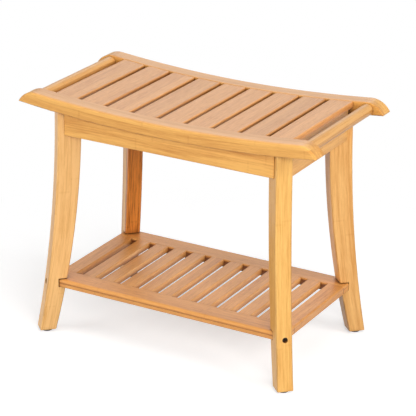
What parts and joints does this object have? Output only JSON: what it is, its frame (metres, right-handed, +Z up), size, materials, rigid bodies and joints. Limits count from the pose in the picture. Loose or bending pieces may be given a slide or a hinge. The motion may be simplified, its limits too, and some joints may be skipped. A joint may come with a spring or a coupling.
{
  "type": "shower bench",
  "caption": "Shower bench with a slatted seat between upswept rails, round grip bars at both ends, diagonal sabre legs and a slatted lower shelf.",
  "frame": {"origin": "on the floor, in the middle of the bench's length and depth", "axes": "+X along the bench to the right, +Y to the back, +Z up"},
  "size_m": [0.612, 0.3392, 0.4729],
  "materials": {
    "rail_bamboo": "satin lacquer over bent bamboo plank",
    "bar_bamboo": "satin lacquer over a turned bamboo rod",
    "seat_bamboo": "satin lacquer over laminated bamboo",
    "apron_bamboo": "satin lacquer over laminated bamboo",
    "leg_bamboo": "satin lacquer over laminated bamboo",
    "block_bamboo": "bare bamboo",
    "shelf_bamboo": "satin lacquer over laminated bamboo",
    "pad_plastic": "matt",
    "dark_steel": "dark bronze plating",
    "insert_brass": "bare",
    "dowel_wood": "bare"
  },
  "bodies": {
    "root": {"front_rail": "rail_bamboo", "back_rail": "rail_bamboo", "left_grip_bar": "bar_bamboo", "right_grip_bar": "bar_bamboo", "seat_slat_1": "seat_bamboo", "seat_slat_2": "seat_bamboo", "seat_slat_3": "seat_bamboo", "seat_slat_4": "seat_bamboo", "seat_slat_5": "seat_bamboo", "seat_slat_6": "seat_bamboo", "seat_slat_7": "seat_bamboo", "seat_slat_8": "seat_bamboo", "seat_slat_9": "seat_bamboo", "front_apron": "apron_bamboo", "back_apron": "apron_bamboo", "left_apron": "apron_bamboo", "right_apron": "apron_bamboo", "leg_front_left": "leg_bamboo", "leg_front_right": "leg_bamboo", "leg_back_left": "leg_bamboo", "leg_back_right": "leg_bamboo", "block_front_left": "block_bamboo", "block_front_right": "block_bamboo", "block_back_left": "block_bamboo", "block_back_right": "block_bamboo", "shelf_front_rail": "shelf_bamboo", "shelf_back_rail": "shelf_bamboo", "shelf_left_rail": "shelf_bamboo", "shelf_right_rail": "shelf_bamboo", "shelf_slat_1": "shelf_bamboo", "shelf_slat_2": "shelf_bamboo", "shelf_slat_3": "shelf_bamboo", "shelf_slat_4": "shelf_bamboo", "shelf_slat_5": "shelf_bamboo", "shelf_slat_6": "shelf_bamboo", "shelf_slat_7": "shelf_bamboo", "shelf_slat_8": "shelf_bamboo", "shelf_slat_9": "shelf_bamboo", "shelf_slat_10": "shelf_bamboo", "foot_pad_front_left": "pad_plastic", "foot_pad_front_right": "pad_plastic", "foot_pad_back_left": "pad_plastic", "foot_pad_back_right": "pad_plastic", "corner_bolts": "dark_steel", "corner_washers": "dark_steel", "shelf_bolts": "dark_steel", "pad_nails": "dark_steel", "corner_inserts": "insert_brass", "shelf_inserts": "insert_brass", "rail_dowels": "dowel_wood"}
  },
  "joints": []
}
